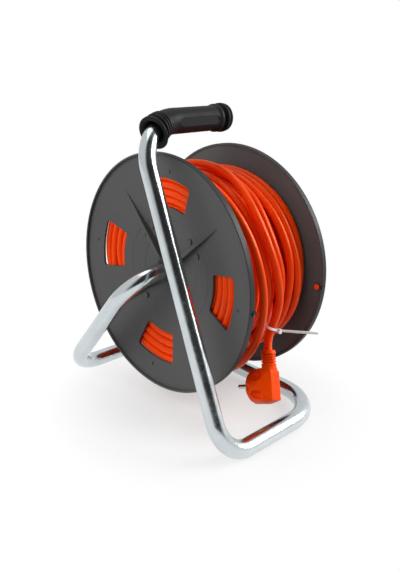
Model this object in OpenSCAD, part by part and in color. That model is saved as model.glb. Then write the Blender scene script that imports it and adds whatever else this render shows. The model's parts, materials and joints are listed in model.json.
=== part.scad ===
// Extension cord reel: a bent tube frame with a rubber hand grip carries a moulded drum.
// The drum turns on the end of the tube and holds the wound cord and four earthed sockets.
// Millimetres, +Z up. The drum's axis lies along X, and the frame stands on Z = 0.

/* [Frame] */
// Outer diameter of the frame tube
tube_d = 20; // [16:0.5:25]
// Wall of the frame tube
tube_wall = 1.5; // [1:0.1:3]
// Height of the drum's axis above the floor
axle_height = 168.5; // [160:0.5:220]
// Distance of the two legs ahead of the drum's front edge
leg_gap = 39; // [35:0.5:80]
// Base corner under the front leg, sideways from the axis
base_left = 149; // [130:1:200]
// Base corner under the axle leg, sideways from the axis
base_right = 131.5; // [110:0.5:180]
// Distance of the rear base rail behind the drum's front edge
base_depth = 136.5; // [130:0.5:180]
// Bend radius of the base corner behind the front leg
base_bend = 60; // [35:1:70]
// Bend radius at the foot of the front leg
foot_bend = 37; // [30:1:50]
// Bend radius of the two base corners on the axle side
side_bend = 53; // [35:1:60]
// Bend radius from the leg into the axle
axle_bend = 50; // [30:1:52]

/* [Grip] */
// Height of the grip's centre above the floor
grip_height = 350; // [345:1:450]
// Sideways place of the grip from the drum's axis
grip_offset = 8; // [-20:0.5:20]
// Bend radius from the front leg into the grip
grip_bend = 54; // [40:1:60]
// Outer diameter of the rubber grip
grip_d = 31; // [27:0.5:38]
// Closed end of the grip behind the drum's front edge
grip_end = 103; // [60:1:125]
// Angle of the bend that the rubber covers
grip_wrap = 45; // [20:1:60]
// Outer diameter of the grip's end rings
grip_ring_d = 36; // [32:0.5:44]
// Depth of the plain flat on the grip's side
grip_panel = 0.8; // [0.4:0.1:1.5]

/* [Drum] */
// Outer diameter of the drum's flanges
flange_d = 290; // [280:1:300]
// Width of the drum over both flanges
drum_width = 138; // [120:1:160]
// Width of a flange's rolled edge
lip_width = 8.2; // [6:0.2:14]
// Thickness of a flange's rolled edge
lip_wall = 2.6; // [2:0.1:4]
// Thickness of a flange's dished plate
plate = 3; // [2.5:0.1:4]
// Depth of the plate below the edge at the rim
dish_start = 3.9; // [2:0.1:4.5]
// Rise of the dished plate for each millimetre inwards
dish_slope = 0.153; // [0.1:0.005:0.2]
// Outer diameter of the barrel that the cord winds on
barrel_d = 132; // [130:1:140]
// Wall of the barrel
barrel_wall = 3; // [2:0.1:4]
// Length of the drum's hub tube
hub_length = 77; // [60:1:78]
// Place of the hub's front face behind the drum's front edge
hub_front = 15; // [13:0.5:20]
// Outer diameter of the hub's front boss
hub_boss_d = 36; // [32:0.5:40]

/* [Windows and ribs] */
// Inner radius of the four windows
window_in = 79; // [76:0.5:90]
// Outer radius of the four windows
window_out = 115; // [100:0.5:122]
// Half of the angle that a window spans
window_half = 16.3; // [10:0.1:30]
// Corner radius of a window
window_corner = 4; // [2:0.5:8]
// Turn of the windows about the axis
window_turn = 6.4; // [0:0.1:30]
// Thickness of a rib of the front flange at the hub
rib_wall = 4.4; // [3:0.1:6]
// Height of a rib at the hub
rib_height = 11; // [6:0.5:12]
// Radius where a rib runs out
rib_end = 112; // [90:1:130]
// Radius of the circle of fixing pins
pin_circle = 57; // [54:0.5:58]
// Diameter of a fixing pin
pin_d = 6.6; // [5:0.1:7]
// Height of a pin's end above the plate
pin_proud = 2; // [0.5:0.1:3]
// Angle between a rib and the pins beside it
pin_angle = 9.7; // [8:0.1:14]

/* [Sockets] */
// Distance of a socket's centre from the axis
socket_circle = 41; // [40:0.5:41.5]
// Bore of a socket's well
socket_d = 39; // [38.5:0.1:40]
// Depth of a socket's well
socket_depth = 17.5; // [15:0.5:18]
// Wall of a socket's well
socket_wall = 1.5; // [1.2:0.1:2]
// Diameter of a socket's contact hole
contact_hole_d = 5.2; // [5:0.1:6]
// Distance between the two contacts
contact_pitch = 19; // [18:0.5:20]
// Diameter of the socket panel
panel_d = 144; // [140:1:160]
// Thickness of the socket panel
panel_t = 3.5; // [3:0.1:5]
// Diameter of a panel screw's head
screw_head_d = 7; // [5:0.5:8]
// Distance of the panel screws from the axis
screw_circle = 59; // [57:0.5:59.5]
// Distance of the reset button from the axis
button_circle = 44; // [43:0.5:46]
// Diameter of the reset button
button_d = 9; // [6:0.5:10]
// Travel of the reset button
button_travel = 2; // [1:0.5:3]

/* [Winding knob] */
// Distance of the winding knob from the axis
knob_circle = 112; // [90:1:118]
// Largest diameter of the winding knob
knob_d = 26; // [20:1:32]
// Length of the winding knob
knob_length = 36; // [28:1:50]
// Diameter of the knob's steel pin
knob_pin_d = 8; // [6:0.5:10]
// Place of the knob about the axis
knob_turn = 6; // [0:1:20]

/* [Cord] */
// Outer diameter of the cord
cord_d = 9.6; // [7:0.1:11]
// Radius of the wound cord's outer layer, to its centre
winding_r = 114; // [95:0.5:118]
// Sag of the last loops away from the barrel, on the free cord's side
winding_sag = 11; // [0:0.5:13]
// Height of the free cord over the outer layer, centre to centre
lead_rise = 10.6; // [10.5:0.1:14]
// Space between two loops of the outer layer
loop_gap = 0.7; // [0.6:0.1:3]

/* [Plug] */
// Diameter of the plug's face
plug_d = 38.6; // [36:0.2:39]
// Depth of the plug's body
plug_depth = 30; // [28:0.5:36]
// Diameter of a plug pin
plug_pin_d = 4.8; // [4:0.1:4.8]
// Length of a plug pin outside the face
plug_pin_l = 19; // [15:0.5:20]
// Diameter of the plug's strain relief
relief_d = 18; // [14:0.5:20]

/* [Fits] */
// Running clearance round the axle
run_gap = 0.08; // [0.03:0.01:0.1]
// Gap between seated pieces
seat_gap = 0.1; // [0.05:0.05:0.3]
// Gap round soft and wound pieces
soft_gap = 0.3; // [0.3:0.05:0.6]

/* [Hidden] */
$fn = 96;
tube_r = tube_d / 2;
leg_x = -leg_gap;
base_z = tube_r - axle_height;
handle_z = grip_height - axle_height;
// Corners of the tube's centre line, from the grip's end to the axle's end.
axle_end = hub_front + hub_length + 8;
corners = [
  [grip_end - 5, -grip_offset, handle_z],
  [leg_x, -grip_offset, handle_z],
  [leg_x, -base_left, base_z],
  [base_depth, -base_left, base_z],
  [base_depth, base_right, base_z],
  [leg_x, base_right, base_z],
  [leg_x, 0, 0],
  [axle_end, 0, 0],
];
bends = [0, grip_bend, foot_bend, base_bend, side_bend, side_bend, axle_bend, 0];
// The frame is shifted so that it stands on the floor round the origin.
knob_tip = drum_width + 3 + knob_length;
box_front = leg_x - tube_r;
box_back = max(base_depth + tube_r, knob_tip);
box_left = -base_left - tube_r;
box_right = max(base_right + tube_r, flange_d / 2);
shift = [-(box_front + box_back) / 2, -(box_left + box_right) / 2, axle_height];

flange_r = flange_d / 2;
barrel_r = barrel_d / 2;
face_r = flange_r - lip_wall;
hub_r = tube_r + run_gap;
sleeve_r = hub_r + 3.4;
hub_back = hub_front + hub_length;
// Front surface of the dished plate at a radius, measured from the flange's edge.
function dish(r) = dish_start + dish_slope * (face_r - r);
flat_r = panel_d / 2 + 1;
flat_x = dish(flat_r);
panel_back = drum_width - flat_x + seat_gap;
well_r = socket_d / 2;
shell_r = well_r + socket_wall;
cup_face = panel_back + panel_t + 1.4;
axle_room = tube_r + 6.4;
pin_r = pin_d / 2;
knob_seat = drum_width - dish(knob_circle) + 4;
winding_top = winding_r + cord_d / 2;
winding_start = dish(winding_r) + plate + cord_d / 2 + 0.8;
// As many whole loops as the space between the flanges takes, up to 24.
loop_pitch = cord_d + loop_gap;
loops = min(24, floor((drum_width - 2 * winding_start) / loop_pitch + 0.001));
// Route of the free cord's last loose turn and a half. Each point has its place on the
// axis, its height over the usual one and its angle.
over_route = [
  [27.5, 0, 432], [29.5, 0, 422], [32, 0, 412], [34, 0, 402], [36.5, 0, 392], [39, 0, 382],
  [41.5, 0.3, 372], [44, 1.2, 362], [46.5, 2.4, 352], [48.5, 4, 342], [50.5, 5.4, 332],
  [52.5, 7.2, 322], [54.5, 9, 312], [57, 9.8, 302], [59, 9.4, 292], [60, 8.6, 282],
  [60, 7.6, 272], [60, 6.4, 262], [60, 5, 252], [60, 4, 242], [60, 3, 232],
  [60, 2, 222], [60, 1, 212], [60, 0.4, 204], [60, 0, 196], [61, 0, 186],
  [62, 0, 176], [63, 0, 166], [64, 0, 156], [66, 0, 146], [68, 0, 136],
  [70, 0, 126], [72, 0, 116], [73, 0, 106], [74, 0, 96], [74.5, 0, 86],
  [74.5, 0, 76], [72.5, 0, 66], [69, 0, 56], [65, 0, 46], [63, 0, 37],
  [63, 0, 28], [65, 0, 19], [69, 0, 10], [73.5, 0, 1],
];
hang_route = [
  [77, -124, -20], [76.5, -120.5, -39], [71.5, -117.5, -56], [66, -118.5, -67],
];
plug_top = [61.8, -122, -76];
plug_lean = 17;
plug_tilt = -22;
cord_sides = 10;

// Moves a piece from the drum's frame to the floor frame.
module placed() {
  translate(shift) children();
}

// Turns a piece drawn along Z so that its Z runs along the drum's axis.
module along_axis() {
  rotate([90, 0, 90]) children();
}

module ring(r_in, r_out, a, b) {
  difference() {
    translate([0, 0, a]) cylinder(h = b - a, r = r_out);
    translate([0, 0, a - 1]) cylinder(h = b - a + 2, r = r_in);
  }
}

function unit(v) = v / norm(v);
function heading(i) = unit(corners[i + 1] - corners[i]);

// A straight cylinder from one point to another.
module run(a, b, r) {
  d = b - a;
  tilt = acos(d[2] / norm(d));
  turn = atan2(d[1], d[0]);
  translate(a) rotate([0, tilt, turn]) cylinder(h = norm(d), r = r);
}

// Local frame of a square bend: X from the centre to its start, Y along the start.
module bend_frame(i) {
  a = heading(i - 1);
  b = heading(i);
  c = cross(a, b);
  o = corners[i] - bends[i] * a + bends[i] * b;
  multmatrix([
    [-b[0], a[0], c[0], o[0]],
    [-b[1], a[1], c[1], o[1]],
    [-b[2], a[2], c[2], o[2]],
    [0, 0, 0, 1],
  ]) children();
}

module bend(i, r, sweep = 90) {
  bend_frame(i) rotate_extrude(angle = sweep) translate([bends[i], 0]) circle(r = r);
}

// The slight step that the bending tool leaves at an end of a bend, where bent and
// straight lengths meet.
swell = 0.03;
swell_gap = 0.3;
module swell_at(i, side, r) {
  way = side < 0 ? -heading(i - 1) : heading(i);
  end = corners[i] + way * bends[i];
  run(end - way * swell_gap, end + way * 2 * swell_gap, r + swell);
}

// Solid along the whole centre line, longer by "over" at both ends.
module tube_path(r, over) {
  last = len(corners) - 2;
  for (i = [0 : last]) {
    from = corners[i] + heading(i) * (i == 0 ? -over : bends[i] + swell_gap);
    to = corners[i + 1] - heading(i) * (i == last ? -over : bends[i + 1] + swell_gap);
    run(from, to, r);
  }
  for (i = [1 : last]) {
    bend(i, r);
    swell_at(i, -1, r);
    swell_at(i, 1, r);
  }
}

module frame_tube() {
  color("silver") placed() difference() {
    tube_path(tube_r, 0);
    tube_path(tube_r - tube_wall, 1);
    translate([axle_end - 4, 0, -tube_r - 1]) cylinder(h = tube_d + 2, r = 1.7);
  }
}

grip_r = grip_d / 2;
ring_r = grip_ring_d / 2;
bore_r = tube_r + seat_gap;
grip_start = leg_x + grip_bend;
grip_l = grip_end - grip_start;
// Rings at the open end: angle from the mouth, angle that it spans, and radius.
mouth_rings = [[0, 5.5, ring_r + 0.8], [7, 3.6, ring_r - 0.6], [12.2, 2.4, ring_r - 1.4]];

// The sleeve's course along the bend and the straight end of the tube.
module grip_path(r, wrap, from, to) {
  bend(1, r, wrap);
  swell_at(1, -1, r);
  run([grip_start + from, -grip_offset, handle_z], [to, -grip_offset, handle_z], r);
}

module hand_grip() {
  color([0.12, 0.12, 0.12]) placed() difference() {
    union() {
      grip_path(grip_r, grip_wrap - 1, swell_gap, grip_end - 18);
      // Closed end with a ring, a groove and a larger ring.
      translate([grip_end - 22, -grip_offset, handle_z]) along_axis() rotate_extrude() polygon([
        [0, 0], [grip_r - 0.5, 0], [grip_r + 1.2, 1.5], [grip_r + 1.6, 3.5], [grip_r + 1.6, 5],
        [grip_r - 0.6, 6], [grip_r - 0.6, 9], [ring_r - 0.8, 10], [ring_r - 0.2, 13],
        [ring_r, 17], [ring_r - 1, 20], [ring_r - 4, 22], [0, 22],
      ]);
      // Flared mouth and two more rings on the bend.
      bend_frame(1) for (k = mouth_rings) rotate([0, 0, grip_wrap - k[0] - k[1]])
        rotate_extrude(angle = k[1]) translate([grip_bend, 0]) circle(r = k[2]);
    }
    grip_path(bore_r, 90, swell_gap, grip_end - 5 + seat_gap);
    // Flared inner edge of the mouth.
    bend_frame(1) rotate([0, 0, grip_wrap]) translate([grip_bend, -6, 0]) rotate([-90, 0, 0])
      cylinder(h = 8, r1 = bore_r - 0.5, r2 = grip_r - 1.2);
    // Plain flat on the outer side.
    translate([grip_start, -grip_offset - grip_r - 5 + grip_panel, handle_z - grip_r])
      cube([grip_l - 28, 5, grip_d]);
  }
}

module stop_collar() {
  color("dimgray") placed() along_axis() ring(tube_r + seat_gap, tube_r + 4.5, hub_front - 3.4, hub_front - 0.3);
}

module axle_washer() {
  color("silver") placed() along_axis() ring(tube_r + 0.2, axle_room - 0.6, hub_back + 0.3, hub_back + 1.8);
}

module axle_split_pin() {
  color("silver") placed() translate([axle_end - 4, 0, -tube_r - 3.5]) union() {
    cylinder(h = tube_d + 7, r = 1.5);
    translate([0, 0, tube_d + 7]) sphere(r = 2);
  }
}

module axle_end_cap() {
  plug_r = tube_r - tube_wall - seat_gap;
  color([0.15, 0.15, 0.15]) placed() along_axis() union() {
    translate([0, 0, axle_end - 2]) cylinder(h = 2 + seat_gap, r = plug_r);
    translate([0, 0, axle_end + seat_gap]) cylinder(h = 2, r1 = tube_r, r2 = tube_r - 1);
  }
}

// Outline of one window, an annular sector with rounded corners round the local X axis.
function corner_points(r, t, from) =
  [for (k = [0 : 4]) [r * cos(t) + window_corner * cos(from + t + k * 22.5),
    r * sin(t) + window_corner * sin(from + t + k * 22.5)]];
window_r1 = window_in + window_corner;
window_r2 = window_out - window_corner;
window_t1 = window_half - asin(window_corner / window_r1);
window_t2 = window_half - asin(window_corner / window_r2);
function arc_points(r, t, steps) =
  [for (k = [1 : steps - 1]) let (a = t * (2 * k / steps - 1)) [r * cos(a), r * sin(a)]];
window_outline = concat(
  corner_points(window_r1, -window_t1, 180), corner_points(window_r2, -window_t2, 270),
  arc_points(window_out, window_t2, 8),
  corner_points(window_r2, window_t2, 0), corner_points(window_r1, window_t1, 90),
  arc_points(window_in, -window_t1, 6));

module window(a, b) {
  translate([0, 0, a]) linear_extrude(height = b - a) polygon(window_outline);
}

// Rolled edge and dished plate in to a radius, with the edge's front at zero.
module flange_shell(r_in) {
  rotate_extrude() polygon([
    [r_in, dish(r_in)], [face_r, dish(face_r)], [face_r, 0.6], [face_r + 0.6, 0],
    [flange_r - 0.8, 0], [flange_r, 0.8], [flange_r, lip_width - 0.6],
    [flange_r - 0.6, lip_width], [face_r, lip_width], [face_r - 1, dish(face_r - 1) + plate],
    [r_in, dish(r_in) + plate],
  ]);
}

// A low raised band with soft edges on the plate's front.
module plate_line(r) {
  rotate_extrude() polygon([
    [r - 3.6, dish(r - 3.6) + 0.3], [r - 2.2, dish(r - 2.2) - 0.35],
    [r + 2.2, dish(r + 2.2) - 0.35], [r + 3.6, dish(r + 3.6) + 0.3],
  ]);
}

// The places of the fixing pins round the axis.
module at_pins() {
  for (k = [0 : 3], s = [-1, 1])
    rotate([0, 0, window_turn + 45 + 90 * k + s * pin_angle]) translate([pin_circle, 0, 0]) children();
}

// A rib that runs out in height and in thickness towards the rim.
module rib() {
  start = hub_boss_d / 2 - 1;
  tip = rib_wall * 0.2;
  intersection() {
    rotate([90, 0, 0]) translate([0, 0, -rib_wall]) linear_extrude(height = 2 * rib_wall) polygon([
      [start, dish(start) - rib_height], [start + 5, dish(start + 5) - rib_height],
      [rib_end, dish(rib_end) - 0.2], [rib_end, dish(rib_end) + 1], [start, dish(start) + 1],
    ]);
    linear_extrude(height = dish(start) + 2) polygon([
      [start - 1, -rib_wall / 2], [rib_end + 1, -tip], [rib_end + 1, tip], [start - 1, rib_wall / 2],
    ]);
  }
}

module front_flange() {
  color([0.33, 0.33, 0.33]) placed() along_axis() difference() {
    union() {
      flange_shell(hub_boss_d / 2 - 1);
      for (r = [46, 67]) plate_line(r);
      for (k = [0 : 3]) rotate([0, 0, window_turn + 45 + 90 * k]) rib();
      translate([0, 0, hub_front]) cylinder(h = dish(hub_boss_d / 2) + plate + 6 - hub_front, r = hub_boss_d / 2);
    }
    translate([0, 0, hub_front - 1]) cylinder(h = 60, r = sleeve_r + seat_gap);
    for (k = [0 : 3]) rotate([0, 0, window_turn + 90 * k]) window(-1, 40);
    at_pins() translate([0, 0, 0]) cylinder(h = 40, r = pin_r + seat_gap);
    // Round dimples outside the windows.
    for (k = [0 : 3]) rotate([0, 0, window_turn + 90 * k]) translate([124, 0, 0]) cylinder(h = dish(124) + 0.8, r = 2.2);
  }
}

module back_flange() {
  open_r = barrel_r - barrel_wall + 0.5;
  color([0.2, 0.18, 0.17]) placed() translate([drum_width, 0, 0]) mirror([1, 0, 0]) along_axis() difference() {
    union() {
      flange_shell(flat_r);
      ring(open_r, flat_r + 0.5, flat_x, flat_x + plate);
      // Boss that holds the knob's pin.
      rotate([0, 0, knob_turn]) translate([knob_circle, 0, drum_width - knob_seat])
        cylinder(h = dish(knob_circle) + plate - 0.5 - (drum_width - knob_seat), r = knob_pin_d / 2 + 4);
    }
    rotate([0, 0, knob_turn]) translate([knob_circle, 0, -10])
      cylinder(h = 60, r = knob_pin_d / 2 + seat_gap);
  }
}

module barrel() {
  front_x = dish(barrel_r) + plate + seat_gap;
  back_x = drum_width - flat_x - plate - seat_gap;
  inner = barrel_r - barrel_wall;
  ring_in = pin_circle - pin_r - 2.5;
  color([0.25, 0.25, 0.25]) placed() along_axis() difference() {
    union() {
      rotate_extrude() polygon([
        [barrel_r, front_x], [barrel_r, back_x], [inner, back_x],
        [inner, front_x + 14], [ring_in, front_x + 14], [ring_in, dish(ring_in) + plate + seat_gap],
      ]);
      // Screw posts for the socket panel.
      for (k = [0 : 3]) rotate([0, 0, 45 + 90 * k]) translate([screw_circle, 0, back_x - 22])
        cylinder(h = panel_back - seat_gap - back_x + 22, r = 4);
    }
    at_pins() cylinder(h = front_x + 11, r = pin_r + seat_gap);
    for (k = [0 : 3]) rotate([0, 0, 45 + 90 * k]) translate([screw_circle, 0, back_x - 12])
      cylinder(h = 40, r = 1.6);
  }
}

module flange_pins() {
  tip = dish(barrel_r) + plate + seat_gap + 10.5;
  color([0.3, 0.3, 0.3]) placed() along_axis() at_pins()
    translate([0, 0, dish(pin_circle) - pin_proud]) cylinder(h = tip - dish(pin_circle) + pin_proud, r = pin_r);
}

module hub_sleeve() {
  color("gray") placed() along_axis() ring(hub_r, sleeve_r, hub_front, hub_back);
}

// The four places of the sockets.
module at_sockets() {
  for (k = [0 : 3]) rotate([0, 0, 90 * k]) translate([socket_circle, 0, 0]) children();
}

module socket_panel() {
  color([0.16, 0.16, 0.16]) placed() along_axis() difference() {
    union() {
      translate([0, 0, panel_back]) cylinder(h = panel_t - 1, r = panel_d / 2);
      translate([0, 0, panel_back + panel_t - 1]) cylinder(h = 1, r1 = panel_d / 2, r2 = panel_d / 2 - 1);
      // Central post that carries the hub sleeve's end.
      translate([0, 0, hub_back - 10]) cylinder(h = panel_back + 1 - hub_back + 10, r = axle_room + 1.6);
    }
    translate([0, 0, hub_back - 11]) cylinder(h = 12, r = sleeve_r + seat_gap);
    translate([0, 0, hub_back]) cylinder(h = panel_back - hub_back - 1, r = axle_room);
    at_sockets() translate([0, 0, hub_back]) cylinder(h = 60, r = shell_r + seat_gap);
    for (k = [0 : 3]) rotate([0, 0, 45 + 90 * k]) translate([screw_circle, 0, panel_back - 1]) cylinder(h = 9, r = 2);
    rotate([0, 0, 45]) translate([button_circle, 0, panel_back - 1]) cylinder(h = 9, r = button_d / 2 + 1.6 + seat_gap);
  }
}

module socket_wells() {
  floor_x = cup_face - socket_depth;
  color([0.1, 0.1, 0.1]) placed() along_axis() at_sockets() difference() {
    union() {
      translate([0, 0, floor_x - 4]) cylinder(h = cup_face - floor_x + 4, r = shell_r);
      ring(well_r, shell_r + 1.2, panel_back + panel_t + seat_gap, cup_face);
    }
    translate([0, 0, floor_x]) cylinder(h = 30, r = well_r);
    for (s = [-1, 1]) translate([0, s * contact_pitch / 2, floor_x - 5]) cylinder(h = 9, r = contact_hole_d / 2);
    // Seats of the earth springs.
    for (s = [-1, 1]) translate([s * (well_r - 1.6) - 1.65, -3.2, floor_x - 1]) cube([3.3, 6.4, 1.2]);
  }
}

// Earth springs: two bent strips on the inner wall of each well.
module earth_springs() {
  floor_x = cup_face - socket_depth;
  color("gold") placed() along_axis() at_sockets() for (s = [0, 180]) rotate([0, 0, s])
    translate([0, 3, 0]) rotate([90, 0, 0]) linear_extrude(height = 6) polygon([
      [well_r - 2.9, floor_x - 0.9], [well_r - 0.9, floor_x - 0.9], [well_r - 0.9, floor_x + 6],
      [well_r - 2, floor_x + 11], [well_r - 0.9, floor_x + 15], [well_r - 1.7, floor_x + 15.4],
      [well_r - 2.9, floor_x + 11], [well_r - 1.8, floor_x + 6], [well_r - 1.8, floor_x],
      [well_r - 2.9, floor_x],
    ]);
}

module panel_screws() {
  color("silver") placed() along_axis() for (k = [0 : 3]) rotate([0, 0, 45 + 90 * k])
    translate([screw_circle, 0, 0]) difference() {
      union() {
        translate([0, 0, panel_back - 10]) cylinder(h = 10 + panel_t + 0.1, r = 1.5);
        translate([0, 0, panel_back + panel_t + 0.05]) cylinder(h = 1.6, r1 = screw_head_d / 2, r2 = screw_head_d / 2 - 1);
      }
      for (t = [0, 90]) rotate([0, 0, t]) translate([-2, -0.4, panel_back + panel_t + 0.9]) cube([4, 0.8, 2]);
    }
}

module button_bezel() {
  top = panel_back + panel_t;
  color([0.1, 0.1, 0.1]) placed() along_axis() rotate([0, 0, 45]) translate([button_circle, 0, 0]) union() {
    ring(button_d / 2 + 0.05, button_d / 2 + 1.6, panel_back - 8, top + 0.1);
    ring(button_d / 2 + 0.05, button_d / 2 + 3, top + seat_gap, top + 1.6);
    translate([0, 0, panel_back - 9.5]) cylinder(h = 1.6, r = button_d / 2 + 1.6);
  }
}

module reset_button() {
  color("firebrick") placed() along_axis() rotate([0, 0, 45]) translate([button_circle, 0, panel_back - 7.8 + button_travel]) union() {
    cylinder(h = panel_t + 8.4, r = button_d / 2);
    translate([0, 0, panel_t + 8.4]) cylinder(h = 0.8, r1 = button_d / 2, r2 = button_d / 2 - 0.8);
  }
}

// The knob's place on the back flange, in the drum's frame.
module at_knob() {
  rotate([0, 0, knob_turn]) translate([knob_circle, 0, 0]) children();
}

module knob_pin() {
  start = drum_width - dish(knob_circle) - plate + 0.7;
  color("silver") placed() along_axis() at_knob() union() {
    translate([0, 0, start]) cylinder(h = knob_tip - 7 - start, r = knob_pin_d / 2);
    translate([0, 0, knob_tip - 7]) cylinder(h = 2.5, r = knob_pin_d / 2 + 2.5);
  }
}

module winding_knob() {
  bore = knob_pin_d / 2 + run_gap;
  r = knob_d / 2;
  a = knob_seat + 0.3;
  b = knob_tip - 1.6;
  color([0.12, 0.12, 0.12]) placed() along_axis() at_knob() rotate_extrude() polygon([
    [bore, a], [r - 3.5, a], [r - 2.5, a + 1], [r - 3.4, a + 6], [r - 3.6, a + 11], [r - 1.8, b - 11],
    [r - 0.4, b - 6], [r, b - 3], [r - 0.8, b - 0.8], [r - 2.2, b],
    [knob_pin_d / 2 + 4.6, b], [knob_pin_d / 2 + 4.6, b - 2], [knob_pin_d / 2 + 3, b - 2],
    [knob_pin_d / 2 + 3, knob_tip - 7.3], [bore, knob_tip - 7.3],
  ]);
}

module knob_cap() {
  b = knob_tip - 1.6;
  color([0.2, 0.2, 0.2]) placed() along_axis() at_knob() union() {
    translate([0, 0, b - 1.9]) cylinder(h = 2, r = knob_pin_d / 2 + 4.5);
    translate([0, 0, b + 0.1]) cylinder(h = 1.5, r1 = knob_pin_d / 2 + 4.5, r2 = knob_pin_d / 2 + 2);
  }
}

// Small clips hooked over the rims, where the cord's end can be parked.
clip_turn = 184.5;
clip_hook = 1.6;
clip_width = 3.6;
clip_reach = 5;
module clip() {
  rotate([0, 0, clip_turn]) translate([0, -clip_width / 2, 0]) {
    translate([face_r - clip_reach, 0, lip_width + seat_gap]) cube([clip_reach + lip_wall + clip_hook, clip_width, 1.6]);
    translate([flange_r + seat_gap, 0, lip_width / 2]) cube([clip_hook - seat_gap, clip_width, lip_width / 2 + 1]);
  }
}

module rim_clips() {
  color([0.08, 0.08, 0.08]) placed() union() {
    along_axis() clip();
    translate([drum_width, 0, 0]) mirror([1, 0, 0]) along_axis() clip();
  }
}

module rim_rivet() {
  color("orangered") placed() along_axis() rotate([0, 0, clip_turn])
    translate([face_r - 3, 0, drum_width - lip_width - 2 - seat_gap - 2.05])
      cylinder(h = 2, r1 = 2.4, r2 = 3.4);
}

// Inner layers of the cord as one plain body, inside the outer layer.
module cable_core() {
  inner = barrel_r + soft_gap;
  outer = (winding_r - cord_d / 2) * cos(7.5) - soft_gap;
  side = plate + soft_gap;
  color("orangered") placed() along_axis() rotate_extrude() polygon([
    [inner, dish(inner) + side], [outer, dish(outer) + side],
    [outer, drum_width - dish(outer) - side], [flat_r, drum_width - dish(flat_r) - side],
    [inner, drum_width - flat_x - side],
  ]);
}

// Rings of a swept tube, joined to one closed body with triangular faces.
module swept(rings, sides) {
  count = len(rings);
  points = [for (q = rings, p = q) p];
  walls = [for (i = [0 : count - 2], j = [0 : sides - 1], h = [0, 1])
    let (a = i * sides + j, b = i * sides + (j + 1) % sides)
    h == 0 ? [a, b, b + sides] : [a, b + sides, a + sides]];
  first = [for (j = [1 : sides - 2]) [0, j + 1, j]];
  end = (count - 1) * sides;
  last = [for (j = [1 : sides - 2]) [end, end + j, end + j + 1]];
  polyhedron(points = points, faces = concat(walls, first, last));
}

// Centre of the outer layer after t loops, in the drum's frame.
wind_rings = 24;
// The last loops sag away from the barrel on the side where the free cord hangs.
function wind_sag(t) = winding_sag * min(1, max(0, (t - loops + 3) / 2))
  * max(0, -cos(360 * t - 10));
function wind_at(t) =
  let (r = winding_r + wind_sag(t)) [winding_start + loop_pitch * t, r * cos(360 * t), r * sin(360 * t)];
// A ring round the layer's centre line: the section stands in the plane of the axis.
function wind_ring(p, dir) = [for (j = [0 : 5])
  let (a = 60 * j, u = cos(a), v = sin(a)) p + cord_d / 2 * (u * dir + v * [1, 0, 0])];
// The straight ends, one diameter long, follow the tangent.
function wind_out(t) = [0, cos(360 * t), sin(360 * t)];
function wind_dir(t) = [0, -sin(360 * t), cos(360 * t)];
wind_path = [
  for (i = [0 : wind_rings * loops]) wind_ring(wind_at(i / wind_rings), wind_out(i / wind_rings)),
];
wind_start = [for (p = wind_path[0]) p - cord_d * wind_dir(0)];
wind_stop = [for (p = wind_path[wind_rings * loops]) p + cord_d * wind_dir(loops)];

// Least distance between the surfaces of two neighbouring loops, on sample points.
wind_samples = [for (i = [0 : 2 * wind_rings])
  let (p = wind_ring(wind_at(i / wind_rings), wind_out(i / wind_rings))) p];
wind_gap = min([for (i = [0 : wind_rings], a = [0 : 5], b = [0 : 5])
  norm(wind_samples[i][a] - wind_samples[i + wind_rings][b])]);
echo(least_gap_in_winding = wind_gap);

module cord_winding() {
  color("orangered") placed() swept(concat([wind_start], wind_path, [wind_stop]), 6);
}

function over_point(q) =
  let (r = winding_r + lead_rise + q[1]) [q[0], -r * cos(q[2]), r * sin(q[2])];
plug_axis = [sin(plug_lean), -sin(plug_tilt) * cos(plug_lean), cos(plug_tilt) * cos(plug_lean)];
cord_points = concat([for (q = over_route) over_point(q)], hang_route, [plug_top]);

// Tangent of the cord at one of its points, square to what it meets at both ends.
function cord_way(i) =
  i == 0 ? unit(cord_points[1] - cord_points[0])
  : i == len(cord_points) - 1 ? -plug_axis
  : unit(cord_points[i + 1] - cord_points[i - 1]);
function cord_ring(i) =
  let (w = cord_way(i), s = unit(cross(w, [0.97, 0.2, 0.14])), t = cross(w, s))
  [for (j = [0 : cord_sides - 1])
    let (a = 360 * j / cord_sides) cord_points[i] + cord_d / 2 * (cos(a) * s + sin(a) * t)];

module cord_lead() {
  color("orangered") placed()
    swept([for (i = [0 : len(cord_points) - 1]) cord_ring(i)], cord_sides);
}

// Puts a piece at the plug: Z up the cord, Y along the pins.
module at_plug() {
  translate(plug_top) rotate([plug_tilt, 0, 0]) rotate([0, plug_lean, 0]) children();
}

// Distances of the plug's parts below the top of its strain relief.
relief_l = 19;
pin_root_r = plug_pin_d / 2 - 0.4;
pin_tip = 1.5;
face_drop = 39.5;
face_y = plug_depth - 8.3;
plug_r = plug_d / 2;

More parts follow.
